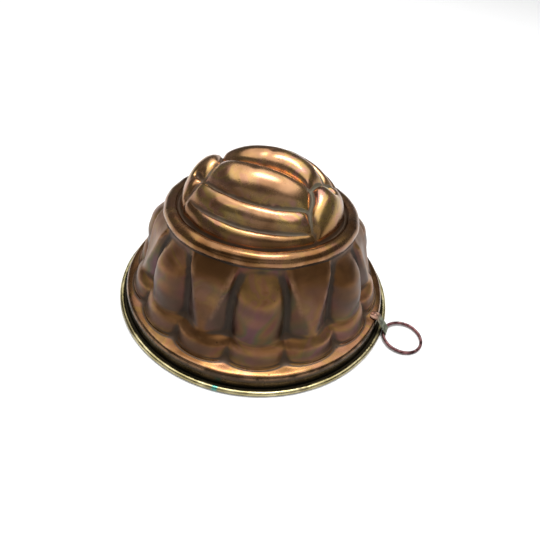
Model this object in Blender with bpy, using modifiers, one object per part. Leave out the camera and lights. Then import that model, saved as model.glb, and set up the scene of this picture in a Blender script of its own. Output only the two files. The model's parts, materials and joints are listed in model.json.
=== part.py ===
"""Antique pressed-copper bundt mould with a wired brass rim and a loose hanging ring.

Metres, +Z up, standing mouth down on the flat of its rim.  The hanger is on the +X side.
"""
import math

import bpy
import bmesh
import numpy as np
from mathutils import Matrix, Vector

MM = 0.001

# ---------------------------------------------------------------- driving dimensions
RIM_RADIUS = 85.0 * MM            # outside of the rolled rim
SHEET = 0.8 * MM                  # copper sheet of the body
GAP = 0.3 * MM                    # air left between touching pieces

BEAD_RADIUS = 1.5 * MM            # section of the rolled binding
BEAD_BORE = 0.98 * MM             # inside of the rolled binding
RIM_HEIGHT = 1.35 * MM            # middle of the bead above the table
WIRE_RADIUS = 0.6 * MM
BEAD_CENTRE = RIM_RADIUS - BEAD_RADIUS

LOBES = 14                        # flutes round the wall: bosses and panels in turn
LOBE_PHASE = math.radians(-66.7)  # a boss is centred here
CROWN_TURN = math.radians(20.3)   # the crown pattern's long axis
COLUMNS = 84                      # mesh columns round the body
COLUMN_TURN = LOBE_PHASE + math.pi / LOBES  # a mesh column runs down each notch

RING_RADIUS = 11.6 * MM           # middle of the hanging ring's wire
RING_WIRE = 0.9 * MM
RING_SEAT = 0.2 * MM              # the wire's middle sits this far mouldward of the hinge
EYE_BORE = 1.38 * MM
STRAP = 0.4 * MM
STRAP_WIDTH = 6.4 * MM
EYE_RADIUS = EYE_BORE + STRAP
EYE_X = RIM_RADIUS + 0.27 * MM + RING_WIRE + RING_SEAT
EYE_Z = 0.1 * MM + EYE_RADIUS

RIVET_SHANK = 0.4 * MM
RIVET_HEAD = 0.75 * MM
RIVET_RISE = 0.5 * MM
RIVET_TAIL = 0.65 * MM
RIVET_AT = (76.7 * MM, 78.5 * MM)

# the ring lies outward with its far side on the table
RING_REACH = 2.0 * RING_RADIUS - RING_SEAT
RING_TILT = math.asin((EYE_Z - RING_WIRE - 0.05 * MM) / RING_REACH)
FAR_EDGE = EYE_X + RING_REACH * math.cos(RING_TILT) + RING_WIRE

# the box round everything is centred on the origin, so the mould's axis is set back
AXIS_X = (RIM_RADIUS - FAR_EDGE) / 2.0

# ---------------------------------------------------------------- body, in rim radii
# wall rows from the flange up: height, boss radius, panel ridge radius, notch radius
WALL_ROWS = (
    (0.000, 0.9705, 0.9705, 0.9705),
    (0.000, 0.9560, 0.9560, 0.9560),
    (0.022, 0.9500, 0.9500, 0.9500),
    (0.085, 0.9480, 0.9480, 0.9480),
    (0.110, 0.9350, 0.9350, 0.9350),
    (0.114, 0.8950, 0.8950, 0.8560),
    (0.130, 0.8830, 0.8830, 0.8230),
    (0.212, 0.8620, 0.8620, 0.7900),
    (0.246, 0.8480, 0.8480, 0.7700),
    (0.284, 0.8280, 0.8200, 0.7330),
    (0.390, 0.8200, 0.7880, 0.7150),
    (0.480, 0.7920, 0.7620, 0.7000),
    (0.570, 0.7620, 0.7380, 0.6850),
    (0.635, 0.7330, 0.7190, 0.6730),
    (0.690, 0.6900, 0.7010, 0.6640),
    (0.732, 0.6600, 0.6770, 0.6560),
    (0.757, 0.6540, 0.6540, 0.6500),
)
FIRST_LOBED = 5                   # rows below this one are plain circles
LEDGE_ROW = 9                     # rows from here up are bosses and panels
BOSS_HEIGHTS = (0.00, 0.48, 0.57, 0.635, 0.69, 0.732, 0.757)
BOSS_HALVES = (1.00, 1.00, 0.93, 0.82, 0.62, 0.40, 0.25)
PANEL_HEIGHTS = (0.284, 0.70)
PANEL_RIDGES = (0.06, 0.94)       # where its ridges stand, as a share of the half lobe
PANEL_HOLLOW = 0.008

# the rope-like ring that frames the crown
CORD_CENTRE = 0.600
CORD_HEIGHT = 0.775
CORD_RADIUS = 0.056
CORD_ANGLES = (-18.0, 14.0, 46.0, 88.0, 130.0)

CROWN_EDGE = 0.556                # groove inside that ring
CROWN_TOP = 1.015                 # floor of the grooves at the middle
CROWN_FALL = 0.84
CROWN_POWER = 2.18
CROWN_LENGTH = 1.32               # the dome is this much longer than wide
CROWN_FOOT = 0.770                # height of the groove inside the cord
CROWN_SHOULDER = 0.035            # how far in from the groove the dome rounds over
RIB_RISE = 0.85                   # a rib's height over half its width
GROOVE_WIDTH = 0.030
GRID_REACH = 0.62                 # half the side of the grid the ribs are worked out on
GRID_POINTS = 125
GRID_SWEEPS = 200
GRID_HASTE = 1.9
CROWN_RINGS = 15
SOFTEN = 0.006                    # the crown's creases are rounded over this distance

# the upper body sits lower at the back than at the front
LEAN = 0.15
LEAN_FRONT = math.radians(-69.7)  # direction of the high side
LEAN_START = 0.30
LEAN_FULL = 0.80
LEAN_INNER = 0.30                 # the middle of the crown does not lean

# grooves of the crown, one half of a pattern that repeats after half a turn
CROWN_SHIFT = np.array((0.0, -0.045))   # the pattern's middle, off the body's axis
GROOVES = (
    (
        (-0.49, -0.09), (-0.40, -0.24), (-0.23, -0.362), (-0.04, -0.417),
        (0.15, -0.41), (0.28, -0.365), (0.34, -0.34),
    ),
    ((-0.43, 0.03), (-0.33, -0.125), (-0.20, -0.223), (-0.05, -0.275), (0.11, -0.288), (0.29, -0.24)),
    ((0.00, 0.00), (0.11, -0.03), (0.225, -0.075), (0.30, -0.12)),
    ((0.285, -0.10), (0.305, -0.17), (0.285, -0.24), (0.295, -0.315), (0.34, -0.375), (0.40, -0.41)),
    ((0.285, -0.10), (0.335, -0.02), (0.395, 0.05), (0.46, 0.11), (0.55, 0.18)),
)


def rounded(points, times):
    """A polyline with its corners cut, ends kept."""
    line = [np.array(p, float) for p in points]
    for _ in range(times):
        cut = [line[0]]
        for a, b in zip(line[:-1], line[1:]):
            cut.append(0.75 * a + 0.25 * b)
            cut.append(0.25 * a + 0.75 * b)
        cut.append(line[-1])
        line = cut
    return np.array(line)


def groove_segments():
    """Start and end points of every straight piece of the crown's grooves."""
    starts = []
    ends = []
    for groove in GROOVES:
        line = rounded(groove, 2)
        for turn in (1.0, -1.0):
            starts.append(turn * line[:-1] + CROWN_SHIFT)
            ends.append(turn * line[1:] + CROWN_SHIFT)
    return np.concatenate(starts), np.concatenate(ends)


def groove_distance(x, y):
    """Distance in plan from the nearest groove of the crown."""
    starts, ends = groove_segments()
    best = np.abs(CROWN_EDGE - np.hypot(x, y))
    for a, b in zip(starts, ends):
        along = b - a
        t = ((x - a[0]) * along[0] + (y - a[1]) * along[1]) / along.dot(along)
        t = np.clip(t, 0.0, 1.0)
        best = np.minimum(best, np.hypot(x - a[0] - t * along[0], y - a[1] - t * along[1]))
    return best


def lean(radius, height, angle):
    """Height with what the back of the upper body has lost taken off."""
    level = np.clip((height - LEAN_START) / (LEAN_FULL - LEAN_START), 0.0, 1.0)
    level = level * level * (3.0 - 2.0 * level)
    back = (1.0 - np.cos(angle - LEAN_FRONT)) / 2.0
    outer = np.clip((radius - LEAN_INNER) / (CROWN_EDGE - LEAN_INNER), 0.0, 1.0)
    return height - LEAN * level * back * outer


def crown_cushions():
    """Ribs of the crown on a square grid: each plot between grooves stands up like a cushion.

    The swelling solves a stretched membrane's equation with the grooves held down, and its
    square root gives every rib a round section.
    """
    line = np.linspace(-GRID_REACH, GRID_REACH, GRID_POINTS)
    x, y = np.meshgrid(line, line, indexing="ij")
    step = line[1] - line[0]
    free = (groove_distance(x, y) > GROOVE_WIDTH / 2.0) & (np.hypot(x, y) < CROWN_EDGE)
    checker = (np.indices(x.shape).sum(axis=0) % 2).astype(bool)
    swell = np.zeros_like(x)
    for _ in range(GRID_SWEEPS):
        for turn in (checker, ~checker):
            around = sum(np.roll(swell, step_by, axis) for step_by in (1, -1) for axis in (0, 1))
            wanted = around / 4.0 + step * step / 4.0
            swell = np.where(free & turn, swell + GRID_HASTE * (wanted - swell), swell)
    height = np.sqrt(2.0 * np.clip(swell, 0.0, None))
    reach = np.arange(-int(3.0 * SOFTEN / step) - 1, int(3.0 * SOFTEN / step) + 2) * step
    weights = np.exp(-0.5 * (reach / SOFTEN) ** 2)
    weights /= weights.sum()
    half = len(weights) // 2
    for axis in (0, 1):
        height = sum(w * np.roll(height, k - half, axis) for k, w in enumerate(weights))
    return height


CUSHIONS = crown_cushions()


def crown_height(radius, angle):
    """Height of the crown over a point in plan, in rim radii."""
    step = 2.0 * GRID_REACH / (GRID_POINTS - 1)
    x = (radius * np.cos(angle - CROWN_TURN) + GRID_REACH) / step
    y = (radius * np.sin(angle - CROWN_TURN) + GRID_REACH) / step
    i = np.floor(x).astype(int)
    j = np.floor(y).astype(int)
    low = CUSHIONS[i, j] * (1.0 - x + i) + CUSHIONS[i + 1, j] * (x - i)
    high = CUSHIONS[i, j + 1] * (1.0 - x + i) + CUSHIONS[i + 1, j + 1] * (x - i)
    rise = low * (1.0 - y + j) + high * (y - j)
    along = np.cos(angle - CROWN_TURN) / CROWN_LENGTH
    across = np.sin(angle - CROWN_TURN)
    fall = CROWN_FALL * np.hypot(along, across) ** CROWN_POWER
    excess = CROWN_TOP - fall * CROWN_EDGE ** CROWN_POWER - CROWN_FOOT
    edge = np.exp(-(CROWN_EDGE - radius) / CROWN_SHOULDER)
    return CROWN_TOP - fall * radius ** CROWN_POWER - excess * edge + RIB_RISE * rise


def boss_section(u, height):
    """How proud a boss stands at u (-1 to 1 across its lobe), 1 at its middle."""
    half = np.interp(height, BOSS_HEIGHTS, BOSS_HALVES)
    return np.clip(1.0 - (u / half) ** 2, 0.0, 1.0) ** 0.6


def panel_radius(u, height, ridge_radius, notch_radius):
    """A panel in plan: a flat shield between two ridges, with sloping sides."""
    half = math.pi / LOBES
    ridge = np.interp(height, PANEL_HEIGHTS, PANEL_RIDGES)
    hollow = PANEL_HOLLOW * (1.0 - np.clip(np.abs(u) / ridge, 0.0, 1.0) ** 2)
    face = ridge_radius * np.cos(half * ridge) / np.cos(half * u) - hollow
    side = notch_radius + (ridge_radius - notch_radius) * (1.0 - np.abs(u)) / (1.0 - ridge)
    return np.where(np.abs(u) < ridge, face, side)


def wall_point(row, angle):
    """Radius and height of a wall row at each angle, in rim radii."""
    height, boss_radius, ridge_radius, notch = WALL_ROWS[row]
    turn = (angle - LOBE_PHASE) / (2.0 * math.pi / LOBES)
    index = np.floor(turn + 0.5)
    u = 2.0 * (turn - index)
    boss = np.mod(index, 2.0) < 0.5
    if row < FIRST_LOBED:
        return np.full_like(angle, boss_radius), np.full_like(angle, height)
    if row < LEDGE_ROW:
        arc = np.clip(1.0 - u ** 2, 0.0, 1.0) ** 0.6
        return notch + (boss_radius - notch) * arc, np.full_like(angle, height)
    as_boss = notch + (boss_radius - notch) * boss_section(u, height)
    as_panel = panel_radius(u, height, ridge_radius, notch)
    return np.where(boss, as_boss, as_panel), np.full_like(angle, height)


def crown_point(radius, angle):
    """Radius and height of a crown ring at each angle."""
    across = np.full_like(angle, radius)
    return across, crown_height(across, angle)


def body_rows():
    """Functions of angle giving (radius, height) for each ring of the mesh, crown first."""
    rows = []
    for i in range(1, CROWN_RINGS):
        radius = CROWN_EDGE * i / CROWN_RINGS
        rows.append(lambda a, r=radius: crown_point(r, a))
    rows.append(lambda a: (np.full_like(a, CROWN_EDGE), np.full_like(a, CROWN_FOOT)))
    for degrees in reversed(CORD_ANGLES):
        turn = math.radians(degrees)
        radius = CORD_CENTRE + CORD_RADIUS * math.cos(turn)
        height = CORD_HEIGHT + CORD_RADIUS * math.sin(turn)
        rows.append(lambda a, r=radius, h=height: (np.full_like(a, r), np.full_like(a, h)))
    for row in reversed(range(len(WALL_ROWS))):
        rows.append(lambda a, k=row: wall_point(k, a))
    return rows


# ---------------------------------------------------------------- scene helpers
def clear_scene():
    for thing in list(bpy.data.objects):
        bpy.data.objects.remove(thing, do_unlink=True)


def new_collection(name, parent):
    group = bpy.data.collections.new(name)
    parent.children.link(group)
    return group


def material(name, colour, metallic, roughness):
    mat = bpy.data.materials.new(name)
    mat.use_nodes = True
    shader = mat.node_tree.nodes["Principled BSDF"]
    shader.inputs["Base Color"].default_value = (*colour, 1.0)
    shader.inputs["Metallic"].default_value = metallic
    shader.inputs["Roughness"].default_value = roughness
    return mat


def mesh_object(name, verts, edges, faces, group):
    mesh = bpy.data.meshes.new(name)
    mesh.from_pydata([tuple(v) for v in verts], edges, faces)
    mesh.update()
    thing = bpy.data.objects.new(name, mesh)
    group.objects.link(thing)
    return thing


def bake(thing):
    """Replace a piece's mesh by the result of its modifiers."""
    graph = bpy.context.evaluated_depsgraph_get()
    graph.update()
    mesh = bpy.data.meshes.new_from_object(thing.evaluated_get(graph))
    thing.modifiers.clear()
    thing.data = mesh
    return thing


def turned(name, profile, steps, group, closed=False):
    """Spin an (x, z) profile about the Z axis."""
    count = len(profile)
    edges = [(i, i + 1) for i in range(count - 1)]
    if closed:
        edges.append((count - 1, 0))
    thing = mesh_object(name, [(x, 0.0, z) for x, z in profile], edges, [], group)
    screw = thing.modifiers.new("turn", "SCREW")
    screw.axis = "Z"
    screw.angle = 2.0 * math.pi
    screw.steps = steps
    screw.render_steps = steps
    screw.use_merge_vertices = True
    screw.merge_threshold = 0.00001
    return bake(thing)


def cut(thing, cutter):
    """Take a cutter away from a piece."""
    modifier = thing.modifiers.new("cut", "BOOLEAN")
    modifier.operation = "DIFFERENCE"
    modifier.solver = "EXACT"
    modifier.object = cutter
    return bake(thing)


def shade_round(thing, degrees=35.0):
    """Smooth shading with sharp edges kept where faces meet steeply."""
    for face in thing.data.polygons:
        face.use_smooth = True
    work = bmesh.new()
    work.from_mesh(thing.data)
    for edge in work.edges:
        if len(edge.link_faces) == 2 and edge.calc_face_angle(0.0) > math.radians(degrees):
            edge.smooth = False
    work.to_mesh(thing.data)
    work.free()


def finish(thing, mat, degrees=35.0):
    thing.data.materials.clear()
    thing.data.materials.append(mat)
    shade_round(thing, degrees)
    return thing


# ---------------------------------------------------------------- pieces
def build_shell(group):
    """A flat disc of rings pressed to shape, then given the sheet's thickness."""
    rows = body_rows()
    blank = [(float(i), 0.0) for i in range(len(rows) + 1)]
    shell = turned("mould_shell", blank, COLUMNS, group)
    coords = np.array([v.co[:] for v in shell.data.vertices])
    ring = np.rint(np.hypot(coords[:, 0], coords[:, 1])).astype(int)
    angle = np.arctan2(coords[:, 1], coords[:, 0]) + COLUMN_TURN
    placed = np.zeros_like(coords)
    peak = float(crown_height(np.zeros(1), np.zeros(1))[0])
    placed[ring == 0] = (AXIS_X, 0.0, RIM_HEIGHT + RIM_RADIUS * peak)
    for k, row in enumerate(rows, start=1):
        here = ring == k
        radius, height = row(angle[here])
        height = lean(radius, height, angle[here])
        placed[here, 0] = AXIS_X + RIM_RADIUS * radius * np.cos(angle[here])
        placed[here, 1] = RIM_RADIUS * radius * np.sin(angle[here])
        placed[here, 2] = RIM_HEIGHT + SHEET / 2.0 + RIM_RADIUS * height
    shell.data.vertices.foreach_set("co", placed.ravel())
    shell.data.update()
    sheet = shell.modifiers.new("sheet", "SOLIDIFY")
    sheet.thickness = SHEET
    sheet.offset = -1.0
    sheet.use_rim = True
    return bake(shell)


def build_binding(group):
    """Brass strip rolled round the wire, C section, flattened where it stands."""
    outer = []
    for degrees in (-137.0, -116.0, -64.0, -30.0, 5.0, 40.0, 75.0, 106.0, 137.0):
        turn = math.radians(degrees)
        outer.append((BEAD_RADIUS * math.cos(turn), max(-RIM_HEIGHT, BEAD_RADIUS * math.sin(turn))))
    inner = []
    for degrees in (133.0, 80.0, 27.0, -27.0, -80.0, -133.0):
        turn = math.radians(degrees)
        inner.append((BEAD_BORE * math.cos(turn), BEAD_BORE * math.sin(turn)))
    profile = [(BEAD_CENTRE + x, RIM_HEIGHT + z) for x, z in reversed(outer + inner)]
    binding = turned("rim_binding", profile, COLUMNS, group, closed=True)
    binding.location.x = AXIS_X
    return binding


def build_wire(group):
    bpy.ops.mesh.primitive_torus_add(
        major_radius=BEAD_CENTRE, minor_radius=WIRE_RADIUS, major_segments=COLUMNS, minor_segments=6,
        location=(AXIS_X, 0.0, RIM_HEIGHT))
    wire = bpy.context.object
    wire.name = "rim_wire"
    move_to(wire, group)
    return wire


def move_to(thing, group):
    for other in list(thing.users_collection):
        other.objects.unlink(thing)
    group.objects.link(thing)


def shoulder_height(radius):
    """Top of the skirt's shoulder under the strap at a radius, above the table."""
    rows = [(row[1], row[0]) for row in WALL_ROWS[2:7]]
    rows.sort()
    height = np.interp(radius / RIM_RADIUS, [r for r, _ in rows], [h for _, h in rows])
    return RIM_HEIGHT + SHEET / 2.0 + RIM_RADIUS * float(height)


def strap_path():
    """Middle of the strap's thickness, from its riveted end to the lip of its eye."""
    lift = GAP + STRAP / 2.0
    flat = shoulder_height(78.0 * MM) + lift
    path = [(75.75 * MM, flat + 0.12 * MM), (80.2 * MM, flat - 0.15 * MM), (80.9 * MM, flat - 0.45 * MM)]
    middle = EYE_RADIUS - STRAP / 2.0
    for degrees in (58.0, 30.0, 0.0, -30.0, -60.0, -90.0, -112.0):
        turn = math.radians(degrees)
        path.append((EYE_X + middle * math.cos(turn), EYE_Z + middle * math.sin(turn)))
    return path


def offset_path(path, distance):
    """The path moved sideways by a distance."""
    moved = []
    for i, point in enumerate(path):
        before = Vector(path[max(i - 1, 0)])
        after = Vector(path[min(i + 1, len(path) - 1)])
        here = Vector(point)
        first = (here - before).normalized() if i else (after - here).normalized()
        second = (after - here).normalized() if i < len(path) - 1 else first
        along = (first + second).normalized()
        side = Vector((-along.y, along.x))
        stretch = 1.0 / max(0.5, along.dot(first))
        moved.append(here + side * distance * stretch)
    return moved


def build_strap(group, cutters):
    """A folded strip: flat on the shoulder, down over the rim and round the ring."""
    path = strap_path()
    outline = offset_path(path, STRAP / 2.0) + list(reversed(offset_path(path, -STRAP / 2.0)))
    work = bmesh.new()
    verts = [work.verts.new((AXIS_X + p.x, -STRAP_WIDTH / 2.0, p.y)) for p in outline]
    face = work.faces.new(verts)
    grown = bmesh.ops.extrude_face_region(work, geom=[face])
    moved = [v for v in grown["geom"] if isinstance(v, bmesh.types.BMVert)]
    bmesh.ops.translate(work, verts=moved, vec=(0.0, STRAP_WIDTH, 0.0))
    bmesh.ops.recalc_face_normals(work, faces=work.faces)
    end_x = min(v.co.x for v in work.verts)
    corners = []
    for edge in work.edges:
        a, b = edge.verts
        if max(a.co.x, b.co.x) < end_x + 0.3 * MM and abs(a.co.y - b.co.y) < 0.01 * MM:
            corners.append(edge)
    bmesh.ops.bevel(work, geom=corners, offset=2.2 * MM, segments=4, profile=0.5, affect="EDGES")
    mesh = bpy.data.meshes.new("hanger_strap")
    work.to_mesh(mesh)
    work.free()
    strap = bpy.data.objects.new("hanger_strap", mesh)
    group.objects.link(strap)
    for cutter in cutters:
        cut(strap, cutter)
    return strap


def rivet_profile(base):
    """Half section of a rivet: domed head above the strap, flat tail inside the shell."""
    strap_top = GAP + STRAP + GAP
    under = -SHEET - GAP
    return [
        (0.0, base + strap_top + RIVET_RISE),
        (0.55 * RIVET_HEAD, base + strap_top + 0.84 * RIVET_RISE),
        (0.9 * RIVET_HEAD, base + strap_top + 0.42 * RIVET_RISE),
        (RIVET_HEAD, base + strap_top),
        (RIVET_SHANK, base + strap_top),
        (RIVET_SHANK, base + under),
        (RIVET_TAIL, base + under),
        (0.85 * RIVET_TAIL, base + under - 0.35 * MM),
        (0.0, base + under - 0.45 * MM),
    ]


def build_rivet(name, radius, group):
    rivet = turned(name, rivet_profile(shoulder_height(radius)), 12, group)
    rivet.location.x = AXIS_X + radius
    return rivet


def build_hole_cutter(name, radius, group):
    bpy.ops.mesh.primitive_cylinder_add(
        vertices=12, radius=RIVET_SHANK + GAP, depth=6.0 * MM,
        location=(AXIS_X + radius, 0.0, shoulder_height(radius)))
    cutter = bpy.context.object
    cutter.name = name
    move_to(cutter, group)
    cutter.hide_render = True
    cutter.display_type = "WIRE"
    return cutter


def build_ring(group, hinge):
    """Hanging ring, modelled round its hinge so that it turns about the strap's eye."""
    bpy.ops.mesh.primitive_torus_add(
        major_radius=RING_RADIUS, minor_radius=RING_WIRE, major_segments=36, minor_segments=8)
    ring = bpy.context.object
    ring.name = "hanging_ring"
    move_to(ring, group)
    ring.data.transform(Matrix.Translation((RING_RADIUS - RING_SEAT, 0.0, 0.0)))
    ring.data.transform(Matrix.Rotation(RING_TILT, 4, "Y"))
    ring.parent = hinge
    return ring


def build():
    clear_scene()
    scene = bpy.context.scene
    group = new_collection("copper_bundt_mould", scene.collection)
    tools = new_collection("cutters", scene.collection)

    copper = material("copper_sheet", (0.56, 0.29, 0.16), 1.0, 0.28)
    brass = material("brass_binding", (0.78, 0.66, 0.36), 1.0, 0.3)
    iron = material("iron_wire", (0.20, 0.17, 0.15), 1.0, 0.55)
    strap_copper = material("strap_copper", (0.45, 0.36, 0.28), 1.0, 0.4)
    rivet_copper = material("rivet_copper", (0.72, 0.42, 0.32), 1.0, 0.3)
    ring_copper = material("ring_wire", (0.26, 0.12, 0.11), 1.0, 0.4)

    cutters = [build_hole_cutter("hole_%d" % i, at, tools) for i, at in enumerate(RIVET_AT)]
    shell = build_shell(group)
    for cutter in cutters:
        cut(shell, cutter)
    finish(shell, copper)
    finish(build_binding(group), brass)
    finish(build_wire(group), iron)
    finish(build_strap(group, cutters), strap_copper)
    finish(build_rivet("hanger_rivet_upper", RIVET_AT[0], group), rivet_copper)
    finish(build_rivet("hanger_rivet_lower", RIVET_AT[1], group), rivet_copper)

    hinge = bpy.data.objects.new("ring_hinge", None)
    hinge.location = (AXIS_X + EYE_X, 0.0, EYE_Z)
    group.objects.link(hinge)
    finish(build_ring(group, hinge), ring_copper)


build()
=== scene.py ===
"""The look of the antique copper bundt mould, built over its CAD frame.

Metres, +Z up, mouth down on the floor.  The hanger is on the +X side of the mould's axis.
"""

import json
import math

import bpy
import numpy as np
from mathutils import Matrix, Vector


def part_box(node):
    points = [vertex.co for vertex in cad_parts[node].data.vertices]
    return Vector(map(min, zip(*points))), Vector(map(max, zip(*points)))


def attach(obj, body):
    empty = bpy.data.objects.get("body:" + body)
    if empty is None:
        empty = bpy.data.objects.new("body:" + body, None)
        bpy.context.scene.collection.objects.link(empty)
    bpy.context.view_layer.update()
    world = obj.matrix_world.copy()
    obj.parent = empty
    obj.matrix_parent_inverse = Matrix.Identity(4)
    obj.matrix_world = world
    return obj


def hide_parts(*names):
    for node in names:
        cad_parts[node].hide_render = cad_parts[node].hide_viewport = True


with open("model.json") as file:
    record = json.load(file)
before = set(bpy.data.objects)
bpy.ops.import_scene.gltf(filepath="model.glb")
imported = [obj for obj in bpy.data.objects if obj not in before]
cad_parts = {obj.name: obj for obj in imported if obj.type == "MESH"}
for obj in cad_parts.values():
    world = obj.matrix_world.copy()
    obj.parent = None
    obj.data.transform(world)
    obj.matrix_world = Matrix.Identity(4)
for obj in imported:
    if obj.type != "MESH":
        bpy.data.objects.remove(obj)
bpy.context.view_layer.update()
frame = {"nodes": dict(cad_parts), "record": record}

MM = 0.001
TURN = 2.0 * math.pi

# ---------------------------------------------------------------- places from the frame, and sizes
BINDING_LOW, BINDING_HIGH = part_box("rim_binding")
WIRE_LOW, WIRE_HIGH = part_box("rim_wire")
STRAP_LOW, STRAP_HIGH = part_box("hanger_strap")
HINGE = Vector(frame["record"]["behaviour"]["joints"][0]["pos_m"])

AXIS_X = (BINDING_LOW[0] + BINDING_HIGH[0]) / 2.0
RIM_RADIUS = (BINDING_HIGH[0] - BINDING_LOW[0]) / 2.0
RIM_HEIGHT = (WIRE_LOW[2] + WIRE_HIGH[2]) / 2.0
BEAD_RADIUS = 1.5 * MM            # the binding's section
BEAD_BORE = 0.98 * MM
BEAD_CENTRE = RIM_RADIUS - BEAD_RADIUS
SHEET = 0.8 * MM                  # the body's thickness
GAP = 0.3 * MM                    # left between pieces that touch

RING_RADIUS = 11.6 * MM           # to the middle of its wire
RING_WIRE = 0.9 * MM              # radius of the wire
RING_SEAT = 0.2 * MM              # the wire's middle lies this far past the hinge
EYE_RADIUS = 1.78 * MM            # outside of the strap's eye
STRAP_SHEET = 0.4 * MM            # the strap's thickness
STRAP_HALF = (STRAP_HIGH[1] - STRAP_LOW[1]) / 2.0
EYE_X = HINGE.x - AXIS_X
EYE_Z = HINGE.z
RING_CLEAR = 0.05 * MM            # between the resting ring and the floor
RING_TILT = math.asin((EYE_Z - RING_WIRE - RING_CLEAR) / (2.0 * RING_RADIUS - RING_SEAT))
# each rivet and its distance from the mould's axis
RIVETS = (("hanger_rivet_upper", 76.7 * MM), ("hanger_rivet_lower", 78.5 * MM))

# ---------------------------------------------------------------- body, in rim radii, from the rim up
LOBES = 14                        # flutes round the wall: bosses and panels in turn
LOBE_PHASE = math.radians(-66.7)  # a boss is centred here
CROWN_TURN = math.radians(20.3)   # the crown pattern's long axis
COLUMNS = 364                     # mesh columns round the body
ROWS_PER_STEP = 9                 # mesh rows from one row of the table below to the next
CORD_ROWS = 22                    # mesh rows of the roll round the crown
CROWN_RINGS = 96                  # mesh rows of the crown

# wall rows from the flange up: height, boss radius, panel ridge radius, notch radius
WALL_ROWS = (
    (0.000, 0.9705, 0.9705, 0.9705),
    (0.000, 0.9560, 0.9560, 0.9560),
    (0.022, 0.9500, 0.9500, 0.9500),
    (0.078, 0.9470, 0.9470, 0.9470),
    (0.105, 0.9310, 0.9310, 0.9310),
    (0.114, 0.8950, 0.8950, 0.8560),
    (0.130, 0.8830, 0.8830, 0.8230),
    (0.212, 0.8620, 0.8620, 0.7900),
    (0.246, 0.8480, 0.8480, 0.7700),
    (0.284, 0.8280, 0.8200, 0.7330),
    (0.390, 0.8200, 0.7880, 0.7150),
    (0.480, 0.8000, 0.7640, 0.7000),
    (0.560, 0.7790, 0.7440, 0.6840),
    (0.625, 0.7400, 0.7270, 0.6720),
    (0.680, 0.6900, 0.7060, 0.6630),
    (0.725, 0.6590, 0.6770, 0.6560),
    (0.757, 0.6520, 0.6520, 0.6500),
)
SHOULDER_ROWS = slice(2, 7)       # rows of the skirt and of its shoulder
ARCH_ROW = 7                      # rows up to here are arches, one to a lobe
LEDGE_ROW = 9                     # rows from here up are bosses and panels
BOSS_HEIGHTS = (0.00, 0.46, 0.56, 0.625, 0.68, 0.725, 0.757)
BOSS_HALVES = (1.00, 1.00, 0.94, 0.84, 0.68, 0.50, 0.40)    # half width there, in half lobes
BULGE_POWER = 0.6                 # a half makes the lobes elliptical, one makes them parabolas
PANEL_HEIGHTS = (0.284, 0.70)
PANEL_RIDGES = (0.06, 0.94)       # where its two ridges stand there, in half lobes
PANEL_HOLLOW = 0.008              # how deep the face between the ridges is dished

# the round roll that frames the crown
CORD_CENTRE = 0.600
CORD_HEIGHT = 0.775
CORD_RADIUS = 0.056
CORD_START = math.radians(-18.0)  # its section is the arc between these two angles
CORD_END = math.radians(130.0)

CROWN_EDGE = 0.556                # groove inside that roll
CROWN_TOP = 1.015                 # height of the dome under the ribs
CROWN_FALL = 0.84                 # the dome falls by this times the radius to the power below
CROWN_POWER = 2.18
CROWN_LENGTH = 1.32               # the dome is this much longer than wide
CROWN_FOOT = 0.770                # height of the groove at its edge
CROWN_SHOULDER = 0.035            # the dome comes down to that groove over this distance
RIB_RISE = 0.88                   # height given to a rib of half width 1
RIB_POWER = 0.49                  # below a half makes the ribs fuller and narrow ones taller
GROOVE_WIDTH = 0.018              # flat floor of the grooves between the ribs
CREASE = 0.0070                   # the pressed creases are rounded over this distance
GRID_REACH = 0.62                 # half the side of the square grid the ribs are solved on
GRID_POINTS = 281
GRID_SWEEPS = 420
GRID_HASTE = 1.94                 # over-relaxation of the sweeps

# the upper body sits lower at the back than at the front
LEAN = 0.15
LEAN_FRONT = math.radians(-69.7)
LEAN_START = 0.30                 # the lean grows between these two heights
LEAN_FULL = 0.80
LEAN_INNER = 0.30                 # and from this radius out to the crown's edge

CROWN_SHIFT = np.array((0.0, -0.045))   # the pattern's middle, off the body's axis
# grooves of the crown, one half of a pattern that repeats after half a turn
GROOVES = (
    (
        (-0.49, -0.09), (-0.40, -0.24), (-0.23, -0.362), (-0.04, -0.417),
        (0.15, -0.41), (0.28, -0.365), (0.34, -0.34),
    ),
    ((-0.43, 0.03), (-0.33, -0.125), (-0.20, -0.223), (-0.05, -0.275), (0.11, -0.288), (0.29, -0.24)),
    ((0.00, 0.00), (0.11, -0.03), (0.225, -0.075), (0.30, -0.12)),
    ((0.285, -0.10), (0.305, -0.17), (0.285, -0.24), (0.295, -0.315), (0.34, -0.375), (0.40, -0.41)),
    ((0.285, -0.10), (0.335, -0.02), (0.395, 0.05), (0.46, 0.11), (0.55, 0.18)),
)


def smoothstep(value):
    """Ease from 0 to 1, level at both ends."""
    value = np.clip(value, 0.0, 1.0)
    return value * value * (3.0 - 2.0 * value)


def rounded(points, times):
    """A polyline with its corners cut, ends kept."""
    line = [np.array(p, float) for p in points]
    for _ in range(times):
        cut = [line[0]]
        for a, b in zip(line[:-1], line[1:]):
            cut.append(0.75 * a + 0.25 * b)
            cut.append(0.25 * a + 0.75 * b)
        cut.append(line[-1])
        line = cut
    return np.array(line)


def groove_distance(x, y):
    """Distance in plan from the nearest groove of the crown."""
    best = np.abs(CROWN_EDGE - np.hypot(x, y))
    for groove in GROOVES:
        line = rounded(groove, 2)
        for turn in (1.0, -1.0):
            for a, b in zip(turn * line[:-1] + CROWN_SHIFT, turn * line[1:] + CROWN_SHIFT):
                along = b - a
                t = ((x - a[0]) * along[0] + (y - a[1]) * along[1]) / along.dot(along)
                t = np.clip(t, 0.0, 1.0)
                best = np.minimum(best, np.hypot(x - a[0] - t * along[0], y - a[1] - t * along[1]))
    return best


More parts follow.
